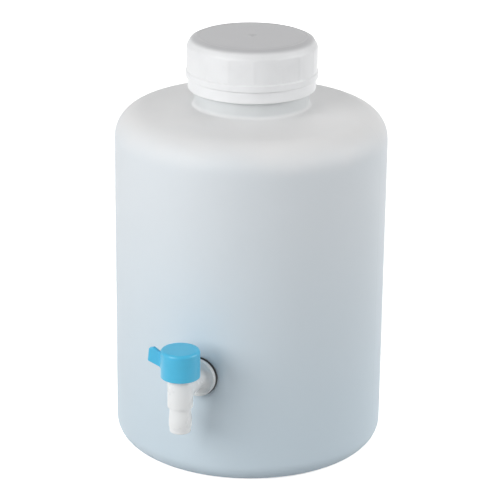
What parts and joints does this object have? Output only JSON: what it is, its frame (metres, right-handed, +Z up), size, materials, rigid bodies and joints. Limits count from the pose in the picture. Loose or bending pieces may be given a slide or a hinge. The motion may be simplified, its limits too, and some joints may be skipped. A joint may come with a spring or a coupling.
{
  "type": "carboy with spigot",
  "caption": "Round wide-mouth plastic carboy with a ribbed screw cap and a quarter-turn spigot near the foot for drawing off liquid.",
  "frame": {"origin": "centre of the standing ring, on the surface that the carboy stands on", "axes": "+Z up along the bottle's axis; the spigot points along -Y; +X to the right when facing +Y"},
  "size_m": [0.225, 0.2764, 0.3487],
  "materials": {
    "bottle": "natural translucent polyethylene, satin",
    "cap": "white moulded plastic, semi-gloss",
    "liner": "soft white sealing foam",
    "tap": "white moulded plastic, gloss",
    "plug": "white moulded plastic, smooth",
    "knob": "sky blue moulded plastic, gloss",
    "seal": "black rubber"
  },
  "bodies": {
    "bottle": {"bottle": "bottle", "tap_body": "tap", "outer_gasket": "seal", "inner_gasket": "seal", "lock_nut": "tap"},
    "seal": {"cap_liner": "liner"},
    "cap": {"cap": "cap"},
    "valve": {"knob": "knob", "valve_plug": "plug", "upper_o_ring": "seal", "lower_o_ring": "seal"}
  },
  "joints": [
    {"name": "cap_rise", "type": "slide", "parent": "bottle", "child": "seal", "axis": [0, 0, 1], "range_m": [0, 0.04]},
    {"name": "cap_turn", "type": "hinge", "parent": "seal", "child": "cap", "pos_m": [0, 0, 0.33], "axis": [0, 0, 1], "range_deg": [0, 1800]},
    {"name": "spigot_turn", "type": "hinge", "parent": "bottle", "child": "valve", "pos_m": [0, -0.1482, 0.093], "axis": [0, 0, 1], "range_deg": [0, 90]}
  ],
  "couplings": [
    {"joint": "cap_rise", "follows": "cap_turn", "m_per_rad": 0.0012732}
  ]
}
